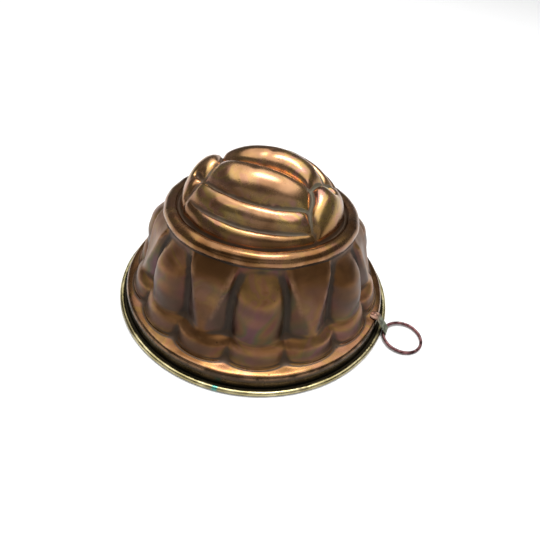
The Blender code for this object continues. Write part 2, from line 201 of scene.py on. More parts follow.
def gaussian(sigma):
    """Weights of a bell curve whose spread is given in samples."""
    reach = int(math.ceil(3.0 * sigma))
    steps = np.arange(-reach, reach + 1)
    weights = np.exp(-0.5 * (steps / sigma) ** 2)
    return steps, weights / weights.sum()


def blur_round(field, sigma):
    """Smooth a grid round the body, where the last column meets the first."""
    steps, weights = gaussian(sigma)
    return sum(w * np.roll(field, s, axis=1) for s, w in zip(steps, weights))


def blur_down(field, sigma):
    """Smooth a grid from row to row, ends kept."""
    steps, weights = gaussian(sigma)
    last = field.shape[0] - 1
    rows = np.arange(field.shape[0])
    return sum(w * field[np.clip(rows + s, 0, last)] for s, w in zip(steps, weights))


def crown_cushions():
    """Ribs of the crown on a square grid: each plot between grooves swells like a cushion."""
    line = np.linspace(-GRID_REACH, GRID_REACH, GRID_POINTS)
    x, y = np.meshgrid(line, line, indexing="ij")
    step = line[1] - line[0]
    free = (groove_distance(x, y) > GROOVE_WIDTH / 2.0) & (np.hypot(x, y) < CROWN_EDGE)
    checker = (np.indices(x.shape).sum(axis=0) % 2).astype(bool)
    swell = np.zeros_like(x)
    for _ in range(GRID_SWEEPS):
        for turn in (checker, ~checker):
            sides = np.roll(swell, 1, 0) + np.roll(swell, -1, 0)
            neighbours = sides + np.roll(swell, 1, 1) + np.roll(swell, -1, 1)
            wanted = (neighbours + step * step) / 4.0
            swell = np.where(free & turn, swell + GRID_HASTE * (wanted - swell), swell)
    height = (2.0 * np.clip(swell, 0.0, None)) ** RIB_POWER
    steps, weights = gaussian(CREASE / step)
    for axis in (0, 1):
        height = sum(w * np.roll(height, s, axis) for s, w in zip(steps, weights))
    return height


def crown_height(cushions, radius, angle):
    """Height of the crown over points in plan, in rim radii."""
    step = 2.0 * GRID_REACH / (GRID_POINTS - 1)
    along = np.cos(angle - CROWN_TURN)
    across = np.sin(angle - CROWN_TURN)
    x = (radius * along + GRID_REACH) / step
    y = (radius * across + GRID_REACH) / step
    i = np.floor(x).astype(int)
    j = np.floor(y).astype(int)
    low = cushions[i, j] * (1.0 - x + i) + cushions[i + 1, j] * (x - i)
    high = cushions[i, j + 1] * (1.0 - x + i) + cushions[i + 1, j + 1] * (x - i)
    rise = low * (1.0 - y + j) + high * (y - j)
    fall = CROWN_FALL * np.hypot(along / CROWN_LENGTH, across) ** CROWN_POWER
    excess = CROWN_TOP - fall * CROWN_EDGE ** CROWN_POWER - CROWN_FOOT
    edge = np.exp(-(CROWN_EDGE - radius) / CROWN_SHOULDER)
    return CROWN_TOP - fall * radius ** CROWN_POWER - excess * edge + RIB_RISE * rise


def lean(radius, height, angle):
    """Height with what the back of the upper body has lost taken off."""
    level = smoothstep((height - LEAN_START) / (LEAN_FULL - LEAN_START))
    back = (1.0 - np.cos(angle - LEAN_FRONT)) / 2.0
    outer = np.clip((radius - LEAN_INNER) / (CROWN_EDGE - LEAN_INNER), 0.0, 1.0)
    return height - LEAN * level * back * outer


def eased(table, places):
    """Columns of a table read between its rows along smooth curves that never overshoot."""
    table = np.array(table, float)
    change = np.diff(table, axis=0)
    slope = np.zeros_like(table)
    same = change[:-1] * change[1:] > 0.0
    safe = np.where(same, change[:-1] + change[1:], 1.0)
    slope[1:-1] = np.where(same, 2.0 * change[:-1] * change[1:] / safe, 0.0)
    slope[0] = change[0]
    slope[-1] = change[-1]
    k = np.clip(np.floor(places).astype(int), 0, len(table) - 2)
    t = (places - k)[:, None]
    return (
        table[k] * (1.0 + 2.0 * t) * (1.0 - t) ** 2
        + slope[k] * t * (1.0 - t) ** 2
        + table[k + 1] * t * t * (3.0 - 2.0 * t)
        + slope[k + 1] * t * t * (t - 1.0)
    )


def wall_grid(angle):
    """Radius and height of the wall, flange first, on rows by columns."""
    places = np.linspace(0.0, len(WALL_ROWS) - 1.0, ROWS_PER_STEP * (len(WALL_ROWS) - 1) + 1)
    height, boss_radius, ridge_radius, notch = [column[:, None] for column in eased(WALL_ROWS, places).T]
    lobe = (angle - LOBE_PHASE) / (TURN / LOBES)
    index = np.floor(lobe + 0.5)
    u = (2.0 * (lobe - index))[None, :]
    is_boss = (np.mod(index, 2.0) < 0.5)[None, :]

    arch = notch + (boss_radius - notch) * np.clip(1.0 - u ** 2, 0.0, 1.0) ** BULGE_POWER

    half = np.interp(height, BOSS_HEIGHTS, BOSS_HALVES)
    boss = notch + (boss_radius - notch) * np.clip(1.0 - (u / half) ** 2, 0.0, 1.0) ** BULGE_POWER

    ridge = np.interp(height, PANEL_HEIGHTS, PANEL_RIDGES)
    sector = math.pi / LOBES
    hollow = PANEL_HOLLOW * (1.0 - np.clip(np.abs(u) / ridge, 0.0, 1.0) ** 2)
    face = ridge_radius * np.cos(sector * ridge) / np.cos(sector * u) - hollow
    side = notch + (ridge_radius - notch) * (1.0 - np.abs(u)) / (1.0 - ridge)
    panel = np.where(np.abs(u) < ridge, face, side)

    shield = smoothstep((places - ARCH_ROW) / (LEDGE_ROW - ARCH_ROW))[:, None]
    upper = np.where(is_boss, boss, panel)
    radius = arch + (upper - arch) * shield
    return radius, np.broadcast_to(height, radius.shape)


def cord_grid(angle):
    """Radius and height of the roll round the crown, outer side first."""
    turn = np.linspace(CORD_START, CORD_END, CORD_ROWS)[:, None]
    radius = CORD_CENTRE + CORD_RADIUS * np.cos(turn) + 0.0 * angle[None, :]
    height = CORD_HEIGHT + CORD_RADIUS * np.sin(turn) + 0.0 * angle[None, :]
    return radius, height


def crown_grid(angle):
    """Radius and height of the crown, edge first, down to a small ring at its middle."""
    cushions = crown_cushions()
    rings = CROWN_EDGE * np.linspace(1.0, 1.0 / CROWN_RINGS, CROWN_RINGS)
    radius = rings[:, None] + 0.0 * angle[None, :]
    return radius, crown_height(cushions, radius, angle[None, :] + 0.0 * radius)


# ---------------------------------------------------------------- mesh helpers
BEVEL_SEGMENTS = 3
BEVEL_ANGLE = math.radians(50.0)


def waves(points, seed, count, shortest, longest):
    """A smooth random field of about unit size: plane waves in random directions."""
    rng = np.random.default_rng(seed)
    total = np.zeros(points.shape[:-1])
    for _ in range(count):
        direction = rng.normal(size=3)
        direction /= np.linalg.norm(direction)
        phase = rng.uniform(0.0, TURN)
        total += np.sin(points @ direction * TURN / rng.uniform(shortest, longest) + phase)
    return total / math.sqrt(count / 2.0)


def grid_normals(points):
    """Outward normals of a grid that closes round its columns."""
    across = np.roll(points, -1, axis=1) - np.roll(points, 1, axis=1)
    down = np.gradient(points, axis=0)
    normal = np.cross(across, down)
    return normal / np.maximum(np.linalg.norm(normal, axis=2, keepdims=True), 1e-12)


def grid_faces(rows, columns, closed_rows=False, closed_columns=True):
    """Quads between the points of a grid, row by row."""
    faces = []
    for i in range(rows if closed_rows else rows - 1):
        above = (i + 1) % rows
        for j in range(columns if closed_columns else columns - 1):
            beside = (j + 1) % columns
            low, high = i * columns, above * columns
            faces.append((low + j, low + beside, high + beside, high + j))
    return faces


def mesh_piece(name, verts, faces, materials):
    """A smooth-shaded object in the scene."""
    mesh = bpy.data.meshes.new(name)
    mesh.from_pydata([tuple(v) for v in verts], [], faces)
    mesh.polygons.foreach_set("use_smooth", [True] * len(mesh.polygons))
    mesh.update()
    for mat in materials:
        mesh.materials.append(mat)
    piece = bpy.data.objects.new(name, mesh)
    bpy.context.scene.collection.objects.link(piece)
    return piece


def add_field(piece, name, values):
    """A number at every vertex, for the material to read."""
    field = piece.data.attributes.new(name, "FLOAT", "POINT")
    field.data.foreach_set("value", np.asarray(values, np.float32).ravel())


def thicken(piece, thickness, offset, inner_slot=0):
    """Give a surface a thickness; the offset is -1 to grow inward and 0 to grow both ways."""
    sheet = piece.modifiers.new("sheet", "SOLIDIFY")
    sheet.thickness = thickness
    sheet.offset = offset
    sheet.use_rim = True
    sheet.material_offset = inner_slot


def soften_edges(piece, width):
    """Round every edge sharper than BEVEL_ANGLE."""
    edge = piece.modifiers.new("edges", "BEVEL")
    edge.width = width
    edge.segments = BEVEL_SEGMENTS
    edge.limit_method = "ANGLE"
    edge.angle_limit = BEVEL_ANGLE


# ---------------------------------------------------------------- pieces
# unevenness of each piece: seed, number of waves, shortest and longest wave
SHEET_WAVES = (3, 26, 9.0 * MM, 34.0 * MM)
BINDING_WAVES = (8, 18, 3.0 * MM, 16.0 * MM)
STRAP_WAVES = (21, 20, 2.0 * MM, 7.0 * MM)
RING_WAVES = (33, 16, 2.0 * MM, 9.0 * MM)

SMOOTH_ROUND = 0.9                # how far the body's grid is smoothed, in mesh steps
SMOOTH_DOWN = 1.1
WAVE_DEPTH = 0.09 * MM            # how uneven the hand-finished sheet is
EVEN_BELOW = 0.12                 # even below this height in rim radii, uneven from twice it
EVEN_ROUND_HANGER = 8.0 * MM      # and likewise round the upper rivet
DENT_SEED = 11
DENTS = 16
DENT_DEPTH = (0.10 * MM, 0.30 * MM)
DENT_WIDTH = (1.6 * MM, 4.0 * MM)

CROWN_TIP_RISE = 0.01 * MM        # the last point of the crown above the ring round it

CREASE_REACH = 3                  # mesh steps over which a crease is felt
CREASE_SPAN = 0.8 * MM            # shorter spans than this are too noisy to use
CREASE_SIZE = 2.0 * MM            # a hollow bent to twice this radius counts as 0.5
CREASE_LIMIT = 1.5
CREASE_SMOOTH = 0.8               # in mesh steps

# where the copper's colours change, in rows of the wall's table
SKIRT_COLOUR_ENDS = 4.6
WALL_COLOUR_STARTS = 5.2
COLOUR_FADE = 0.8
# and how the wall's colour ends under the roll, in mesh rows
WALL_END_EARLY = 6.0
WALL_END_FADE = 10.0


def shoulder_height(radius):
    """Top of the skirt's shoulder at a radius, above the floor."""
    rows = sorted((row[1], row[0]) for row in WALL_ROWS[SHOULDER_ROWS])
    height = np.interp(radius / RIM_RADIUS, [r for r, _ in rows], [h for _, h in rows])
    return RIM_HEIGHT + SHEET / 2.0 + RIM_RADIUS * float(height)


def body_points():
    """The outside of the pressed sheet, flange first, with its unevenness and dents."""
    angle = TURN * np.arange(COLUMNS) / COLUMNS
    parts = (wall_grid(angle), cord_grid(angle), crown_grid(angle))
    radius = np.concatenate([part[0] for part in parts])
    height = np.concatenate([part[1] for part in parts])
    radius = blur_down(blur_round(radius, SMOOTH_ROUND), SMOOTH_DOWN)
    height = blur_down(height, SMOOTH_DOWN)
    height = lean(radius, height, angle[None, :])
    points = np.stack((
        AXIS_X + RIM_RADIUS * radius * np.cos(angle),
        RIM_RADIUS * radius * np.sin(angle),
        RIM_HEIGHT + SHEET / 2.0 + RIM_RADIUS * height,
    ), axis=2)

    from_hanger = np.hypot(points[..., 0] - AXIS_X - RIVETS[0][1], points[..., 1])
    free = smoothstep((height - EVEN_BELOW) / EVEN_BELOW)
    free = free * smoothstep((from_hanger - EVEN_ROUND_HANGER) / EVEN_ROUND_HANGER)
    push = WAVE_DEPTH * waves(points, *SHEET_WAVES)
    rng = np.random.default_rng(DENT_SEED)
    tops = np.argwhere(free > 0.99)
    for _ in range(DENTS):
        row, column = tops[rng.integers(len(tops))]
        spread = rng.uniform(*DENT_WIDTH)
        away = np.linalg.norm(points - points[row, column], axis=2)
        push = push - rng.uniform(*DENT_DEPTH) * np.exp(-(away / spread) ** 2)
    return points + grid_normals(points) * (push * free)[..., None]


def crease_field(points):
    """Above zero in hollows, below zero on crests: the surface's bending times CREASE_SIZE."""
    normal = grid_normals(points)
    last = len(points) - 1
    rows = np.arange(len(points))
    up = points[np.clip(rows + CREASE_REACH, 0, last)]
    down = points[np.clip(rows - CREASE_REACH, 0, last)]
    left = np.roll(points, CREASE_REACH, axis=1)
    right = np.roll(points, -CREASE_REACH, axis=1)
    total = np.zeros(points.shape[:2])
    for one, other in ((up, down), (left, right)):
        sag = (((one + other) / 2.0 - points) * normal).sum(axis=2)
        span = np.linalg.norm(one - other, axis=2) / 2.0
        bend = 2.0 * sag / np.maximum(span, CREASE_SPAN) ** 2
        total += np.where(span > CREASE_SPAN, bend, 0.0)
    return np.clip(total * CREASE_SIZE, -CREASE_LIMIT, CREASE_LIMIT)


def build_shell(outside, tinned):
    """The pressed copper sheet, closed at the top, with its tinned inner side."""
    points = body_points()
    rows = len(points)
    middle = points[-1].mean(axis=0) + np.array((0.0, 0.0, CROWN_TIP_RISE))
    verts = list(points.reshape(-1, 3)) + [middle]
    faces = grid_faces(rows, COLUMNS)
    top = (rows - 1) * COLUMNS
    faces += [(top + j, top + (j + 1) % COLUMNS, len(verts) - 1) for j in range(COLUMNS)]
    shell = mesh_piece("copper_body", verts, faces, (outside, tinned))

    crease = blur_down(blur_round(crease_field(points), CREASE_SMOOTH), CREASE_SMOOTH)
    wall_end = ROWS_PER_STEP * (len(WALL_ROWS) - 1) + 1
    place = np.arange(rows) / ROWS_PER_STEP
    wall = smoothstep((place - WALL_COLOUR_STARTS) / COLOUR_FADE)
    wall = wall * (1.0 - smoothstep((np.arange(rows) - wall_end + WALL_END_EARLY) / WALL_END_FADE))
    skirt = 1.0 - smoothstep((place - SKIRT_COLOUR_ENDS) / COLOUR_FADE)
    for name, values in (
        ("crease", crease),
        ("wall", np.repeat(wall, COLUMNS)),
        ("skirt", np.repeat(skirt, COLUMNS)),
    ):
        add_field(shell, name, np.append(np.ravel(values), 0.0))
    thicken(shell, SHEET, -1.0, inner_slot=1)
    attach(shell, "mould")
    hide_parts("mould_shell")
    return shell


def ring_grid(profile, columns):
    """Points of a closed (x, z) profile spun about the mould's axis."""
    angle = TURN * np.arange(columns) / columns
    x, z = np.array(profile).T
    return np.stack((
        x[:, None] * np.cos(angle),
        x[:, None] * np.sin(angle),
        z[:, None] + 0.0 * angle,
    ), axis=2)


BINDING_OUTER_ROWS = 30           # mesh rows of the binding's outside and of its bore
BINDING_BORE_ROWS = 18
BINDING_OUTER_WRAP = 137.0        # how far each side reaches round the wire, in degrees
BINDING_BORE_WRAP = 133.0
BINDING_WAVE_DEPTH = 0.035        # as a share of the section's radius
# stretches of tool marks: middle and half length in degrees, pitch in degrees, depth as a share
BINDING_MARKS = (
    (-12.0, 5.0, 1.7, 0.16),
    (-52.0, 9.0, 2.6, 0.07),
    (64.0, 7.0, 2.1, 0.08),
    (150.0, 10.0, 2.9, 0.07),
)


def build_binding(brass):
    """Brass strip rolled round the wire, C section, worn flat underneath."""
    outer = np.radians(np.linspace(-BINDING_OUTER_WRAP, BINDING_OUTER_WRAP, BINDING_OUTER_ROWS))
    inner = np.radians(np.linspace(BINDING_BORE_WRAP, -BINDING_BORE_WRAP, BINDING_BORE_ROWS))
    profile = [(BEAD_RADIUS * math.cos(a), max(-RIM_HEIGHT, BEAD_RADIUS * math.sin(a))) for a in outer]
    profile += [(BEAD_BORE * math.cos(a), BEAD_BORE * math.sin(a)) for a in inner]
    profile = [(BEAD_CENTRE + x, RIM_HEIGHT + z) for x, z in profile]
    points = ring_grid(profile, COLUMNS * 2)
    angle = np.arctan2(points[..., 1], points[..., 0])
    centre = np.stack((
        BEAD_CENTRE * np.cos(angle),
        BEAD_CENTRE * np.sin(angle),
        0.0 * angle + RIM_HEIGHT,
    ), axis=2)
    outward = points - centre
    upper = smoothstep((points[..., 2] - RIM_HEIGHT * 0.5) / RIM_HEIGHT)
    uneven = BINDING_WAVE_DEPTH * waves(points, *BINDING_WAVES)
    marks = np.zeros_like(angle)
    for middle, spread, pitch, depth in BINDING_MARKS:
        near = np.exp(-((angle - math.radians(middle)) / math.radians(spread)) ** 4)
        teeth = np.clip(np.sin(angle * TURN / math.radians(pitch)), 0.0, 1.0) ** 2
        marks += depth * near * teeth
    points = points - outward * ((uneven + marks) * upper)[..., None].clip(0.0, None)
    points[..., 0] += AXIS_X
    rows = len(profile)
    faces = grid_faces(rows, COLUMNS * 2, closed_rows=True)
    binding = mesh_piece("brass_bead", points.reshape(-1, 3), faces, (brass,))
    in_bore = [0.0] * BINDING_OUTER_ROWS + [1.0] * BINDING_BORE_ROWS
    add_field(binding, "crease", np.repeat(in_bore, COLUMNS * 2))
    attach(binding, "mould")
    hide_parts("rim_binding")
    return binding


STRAP_ROWS = 90                   # mesh rows along the strap and columns across it
STRAP_COLUMNS = 25
STRAP_END = 2.4 * MM              # length of its round end
STRAP_TIP = 0.30                  # width of the very end, as a share of the whole
STRAP_WAVE_DEPTH = 0.05 * MM
STRAP_EDGE = 0.09 * MM            # rounding of its edges
STRAP_REST = 78.0 * MM            # it lies flat on the shoulder at this distance from the axis
EYE_DEGREES = range(58, -113, -10)      # round the eye, from its top over the outside to its lip


def strap_path():
    """Middle of the strap's thickness, from its riveted end to the lip of its eye."""
    lift = GAP + STRAP_SHEET / 2.0
    flat = shoulder_height(STRAP_REST) + lift
    riveted_end = (75.75 * MM, flat + 0.12 * MM)
    bend = [(80.2 * MM, flat - 0.15 * MM), (80.9 * MM, flat - 0.45 * MM)]
    path = [riveted_end] + bend
    middle = EYE_RADIUS - STRAP_SHEET / 2.0
    for degrees in EYE_DEGREES:
        turn = math.radians(degrees)
        path.append((EYE_X + middle * math.cos(turn), EYE_Z + middle * math.sin(turn)))
    line = rounded(path, 2)
    along = np.append(0.0, np.cumsum(np.linalg.norm(np.diff(line, axis=0), axis=1)))
    even = np.linspace(0.0, along[-1], STRAP_ROWS)
    return even, np.interp(even, along, line[:, 0]), np.interp(even, along, line[:, 1])


def build_strap(mat):
    """A folded strip, round at its riveted end, going round the ring at the other."""
    along, x, z = strap_path()
    share = np.linspace(-1.0, 1.0, STRAP_COLUMNS)
    nose = np.clip((STRAP_END - along) / STRAP_END, 0.0, 1.0)
    half = STRAP_HALF * (STRAP_TIP + (1.0 - STRAP_TIP) * np.sqrt(1.0 - nose ** 2))
    y = half[:, None] * share[None, :]
    points = np.stack((AXIS_X + x[:, None] + 0.0 * y, y, z[:, None] + 0.0 * y), axis=2)
    hammered = STRAP_WAVE_DEPTH * waves(points, *STRAP_WAVES)
    points[..., 2] += hammered * smoothstep((z[:, None] - 0.5 * EYE_Z) / (2.0 * EYE_Z))
    faces = grid_faces(STRAP_ROWS, STRAP_COLUMNS, closed_columns=False)
    strap = mesh_piece("strap_hook", points.reshape(-1, 3), faces, (mat,))
    thicken(strap, STRAP_SHEET, 0.0)
    soften_edges(strap, STRAP_EDGE)
    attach(strap, "mould")
    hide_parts("hanger_strap")
    return strap


RIVET_COLUMNS = 28
RIVET_HEAD = 0.75 * MM            # radii of its head, shank and tail
RIVET_SHANK = 0.4 * MM
RIVET_TAIL = 0.65 * MM
RIVET_HEAD_RISE = 0.5 * MM
RIVET_TAIL_DROP = 0.45 * MM
RIVET_HAMMERED_ROWS = 10          # rows of the head, from its middle, that the hammer marked
RIVET_WAVE_DEPTH = 0.03 * MM


def build_rivet(node, radius, mat, seed):
    """A copper rivet with a hammered head above the strap and a flat tail inside."""
    base = shoulder_height(radius)
    top = base + 2.0 * GAP + STRAP_SHEET
    dome = [
        (RIVET_HEAD * math.sin(a), top + RIVET_HEAD_RISE * math.cos(a) ** 0.8)
        for a in np.linspace(0.02, 0.49 * math.pi, 12)
    ]
    under = base - SHEET - GAP
    foot = [
        (RIVET_TAIL * math.cos(a), under - RIVET_TAIL_DROP * math.sin(a))
        for a in np.linspace(0.0, 0.48 * math.pi, 8)
    ]
    profile = dome + [(RIVET_HEAD, top), (RIVET_SHANK, top), (RIVET_SHANK, under)] + foot
    points = ring_grid(profile, RIVET_COLUMNS)
    points[..., 0] += AXIS_X + radius
    marks = waves(points, seed, 14, 0.7 * MM, 1.8 * MM) * RIVET_WAVE_DEPTH
    points[:RIVET_HAMMERED_ROWS, :, 2] += marks[:RIVET_HAMMERED_ROWS]
    verts = list(points.reshape(-1, 3))
    faces = [tuple(reversed(face)) for face in grid_faces(len(profile), RIVET_COLUMNS)]
    for row, flip in ((0, False), (len(profile) - 1, True)):
        verts.append(points[row].mean(axis=0))
        start = row * RIVET_COLUMNS
        for j in range(RIVET_COLUMNS):
            face = (start + j, start + (j + 1) % RIVET_COLUMNS, len(verts) - 1)
            faces.append(tuple(reversed(face)) if flip else face)
    rivet = mesh_piece(node.replace("hanger_", "") + "_head", verts, faces, (mat,))
    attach(rivet, "mould")
    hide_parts(node)
    return rivet


RING_COLUMNS = 192                # mesh columns round the ring and sides of its wire
RING_SIDES = 20
RING_WEAR = 0.03                  # how much the wire's radius varies, as a share
RING_WAVE_DEPTH = 0.02 * MM


def build_ring(mat):
    """The loose ring: a hand-bent loop of wire, lying outward with its far side on the floor."""
    loop = TURN * np.arange(RING_COLUMNS) / RING_COLUMNS
    section = TURN * np.arange(RING_SIDES) / RING_SIDES
    wire = RING_WIRE * (1.0 - RING_WEAR + RING_WEAR * np.sin(3.0 * loop))
    spread = RING_RADIUS + wire[None, :] * np.cos(section[:, None])
    points = np.stack((
        spread * np.cos(loop) + RING_RADIUS - RING_SEAT,
        spread * np.sin(loop),
        wire[None, :] * np.sin(section[:, None]),
    ), axis=2)
    points += RING_WAVE_DEPTH * waves(points, *RING_WAVES)[..., None]
    place = Matrix.Translation(HINGE) @ Matrix.Rotation(RING_TILT, 4, "Y")
    verts = [place @ Vector(v) for v in points.reshape(-1, 3)]
    faces = grid_faces(RING_SIDES, RING_COLUMNS, closed_rows=True)
    ring = mesh_piece("ring_loop", verts, faces, (mat,))
    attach(ring, "ring")
    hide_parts("hanging_ring")
    return ring


# ---------------------------------------------------------------- materials
class Paint:
    """A node material built up one node at a time; most methods give back a socket."""

    def __init__(self, name, metallic, roughness):
        self.mat = bpy.data.materials.new(name)
        self.mat.use_nodes = True
        self.tree = self.mat.node_tree
        self.shader = self.tree.nodes["Principled BSDF"]
        self.shader.inputs["Metallic"].default_value = metallic
        self.shader.inputs["Roughness"].default_value = roughness
        self.place = self.tree.nodes.new("ShaderNodeTexCoord").outputs["Object"]
        self.relief = None

    def set(self, socket, value):
        """Link a socket to another one, or give it a number or a colour."""
        if isinstance(value, bpy.types.NodeSocket):
            self.tree.links.new(value, socket)
        elif isinstance(value, tuple) and len(value) == 3:
            socket.default_value = (*value, 1.0) if socket.type == "RGBA" else value
        else:
            socket.default_value = value

    def noise(self, size, detail=3.0, distortion=0.0):
        """Cloudy noise; size is the width of its patches in metres."""
        node = self.tree.nodes.new("ShaderNodeTexNoise")
        self.set(node.inputs["Vector"], self.place)
        node.inputs["Scale"].default_value = 1.0 / size
        node.inputs["Detail"].default_value = detail
        node.inputs["Distortion"].default_value = distortion
        return node.outputs["Fac"]

    def spots(self, size):
        """Distance from the nearest of a set of scattered points."""
        node = self.tree.nodes.new("ShaderNodeTexVoronoi")
        self.set(node.inputs["Vector"], self.place)
        node.inputs["Scale"].default_value = 1.0 / size
        return node.outputs["Distance"]

    def field(self, name):
        """A number stored at the vertices by add_field."""
        node = self.tree.nodes.new("ShaderNodeAttribute")
        node.attribute_name = name
        return node.outputs["Fac"]

    def upward(self):
        """The surface's own upward tilt in the part's frame, 0 on a wall and 1 on top."""
        normal = self.tree.nodes.new("ShaderNodeTexCoord").outputs["Normal"]
        split = self.tree.nodes.new("ShaderNodeSeparateXYZ")
        self.set(split.inputs["Vector"], normal)
        return split.outputs["Z"]

    def axes(self):
        """The place's x, y and z, in metres."""
        split = self.tree.nodes.new("ShaderNodeSeparateXYZ")
        self.set(split.inputs["Vector"], self.place)
        return split.outputs["X"], split.outputs["Y"], split.outputs["Z"]

    def math(self, operation, a, b=0.0, clamp=False):
        """One operation on numbers or sockets."""
        node = self.tree.nodes.new("ShaderNodeMath")
        node.operation = operation
        node.use_clamp = clamp
        self.set(node.inputs[0], a)
        self.set(node.inputs[1], b)
        return node.outputs["Value"]

    def between(self, value, low, high, to_low=0.0, to_high=1.0):
        """Map low..high to to_low..to_high with soft ends."""
        node = self.tree.nodes.new("ShaderNodeMapRange")
        node.interpolation_type = "SMOOTHSTEP"
        self.set(node.inputs["Value"], value)
        node.inputs["From Min"].default_value = low
        node.inputs["From Max"].default_value = high
        node.inputs["To Min"].default_value = to_low
        node.inputs["To Max"].default_value = to_high
        return node.outputs["Result"]

    def ramp(self, value, stops):
        """A colour read from stops of position and colour."""
        node = self.tree.nodes.new("ShaderNodeValToRGB")
        self.set(node.inputs["Fac"], value)
        marks = node.color_ramp.elements
        while len(marks) < len(stops):
            marks.new(0.5)
        for mark, (position, colour) in zip(marks, stops):
            mark.position = position
            mark.color = (*colour, 1.0)
        return node.outputs["Color"]

    def mix(self, factor, a, b):
        """Blend two colours; inputs 6 and 7 of the node are its colour pair."""
        node = self.tree.nodes.new("ShaderNodeMix")
        node.data_type = "RGBA"
        self.set(node.inputs["Factor"], factor)
        self.set(node.inputs[6], a)
        self.set(node.inputs[7], b)
        return node.outputs[2]

    def mottled(self, size, detail, low, high, first, second, distortion=0.0):
        """Two colours in cloudy patches."""
        return self.mix(self.between(self.noise(size, detail, distortion), low, high), first, second)

    def over(self, base, colour, mask, amount):
        """A colour laid over another where a mask allows, at most by an amount."""
        return self.mix(self.both(mask, amount), base, colour)

    def both(self, a, b):
        """The product: where two masks meet, or a mask made weaker."""
        return self.math("MULTIPLY", a, b)

    def colour(self, value):
        self.set(self.shader.inputs["Base Color"], value)

    def roughness(self, value):
        self.set(self.shader.inputs["Roughness"], value)

    def metallic(self, value):
        self.set(self.shader.inputs["Metallic"], value)

    def bump(self, height, distance, strength):
        """Relief added on top of any that is there already."""
        node = self.tree.nodes.new("ShaderNodeBump")
        node.inputs["Strength"].default_value = strength
        node.inputs["Distance"].default_value = distance
        self.set(node.inputs["Height"], height)
        if self.relief is not None:
            self.set(node.inputs["Normal"], self.relief)
        self.relief = node.outputs["Normal"]
        self.set(self.shader.inputs["Normal"], self.relief)


# colours
COPPER_BROWN = (0.255, 0.118, 0.045)
# the next colour is rubbed copper, also laid on the crown as painted highlight
COPPER_WORN_AND_HIGHLIGHT = (0.52, 0.290, 0.155)
COPPER_DARK = (0.125, 0.056, 0.020)
WALL_GREY = (0.062, 0.042, 0.032)
WALL_MAUVE = (0.085, 0.043, 0.036)
# the next colour is grime, also laid in the hollows as painted shade
GRIME_AND_SHADE = (0.034, 0.022, 0.013)
DEPOSIT = (0.15, 0.145, 0.10)
TIN_DULL = (0.36, 0.35, 0.33)
TIN_BRIGHT = (0.56, 0.55, 0.52)
TIN_STAIN = (0.20, 0.14, 0.09)
TIN_WORN = (0.42, 0.24, 0.14)
BRASS_DARK = (0.32, 0.27, 0.125)
BRASS_PALE = (0.62, 0.54, 0.30)
BRASS_DULL = (0.16, 0.13, 0.07)
BRASS_BORE = (0.05, 0.045, 0.03)
BRASS_FOOT = (0.10, 0.085, 0.05)
VERDIGRIS = (0.10, 0.33, 0.27)
STRAP_DARK = (0.13, 0.065, 0.042)
STRAP_PINK = (0.42, 0.25, 0.18)
STRAP_GREY = (0.085, 0.090, 0.060)
STRAP_GREEN = (0.24, 0.26, 0.18)
RIVET_DARK = (0.46, 0.22, 0.16)
RIVET_PINK = (0.82, 0.50, 0.40)
RING_DARK = (0.055, 0.020, 0.022)
RING_PURPLE = (0.24, 0.11, 0.11)
RING_RUBBED = (0.42, 0.25, 0.22)
IRON_GREY = (0.16, 0.14, 0.12)
IRON_RUST = (0.22, 0.10, 0.05)
SKIRT_SHADE = (0.040, 0.031, 0.022)
# the next colour is painted shade by the flange
FLANGE_SHADE = (0.010, 0.012, 0.008)
# colour bands of the tarnish, over the crown, where they are made bright as painted highlight, and over
# the wall
BLOOM = (
    (0.30, (0.36, 0.170, 0.065)),
    (0.40, (0.62, 0.290, 0.210)),
    (0.47, (0.62, 0.430, 0.120)),
    (0.54, (0.42, 0.300, 0.130)),
    (0.60, (0.52, 0.270, 0.250)),
    (0.70, (0.34, 0.165, 0.065)),
)
WALL_BLOOM = (
    (0.32, (0.062, 0.042, 0.032)),
    (0.42, (0.130, 0.040, 0.036)),
    (0.50, (0.130, 0.074, 0.024)),
    (0.57, (0.064, 0.072, 0.032)),
    (0.64, (0.095, 0.042, 0.058)),
    (0.74, (0.060, 0.038, 0.028)),
)

# where the wear, the painted highlight and the painted shade change, as a start and an end of the change
CROWN_Z = (70.0 * MM, 84.0 * MM)      # up from the floor
DEPOSIT_X = (16.0 * MM, 28.0 * MM)    # from the axis towards the hanger
DEPOSIT_Z = (62.0 * MM, 76.0 * MM)
FLANGE_Z = (2.2 * MM, 5.6 * MM)
FOOT_Z = (0.2 * MM, 1.0 * MM)         # the binding is darker towards its underside
VERDIGRIS_X = 13.1 * MM               # where the binding has gone green, from the axis
VERDIGRIS_HALF = (2.0 * MM, 4.0 * MM)
VERDIGRIS_Y = (-20.0 * MM, -10.0 * MM)
STRAP_GREEN_X = (80.8 * MM, 84.6 * MM)


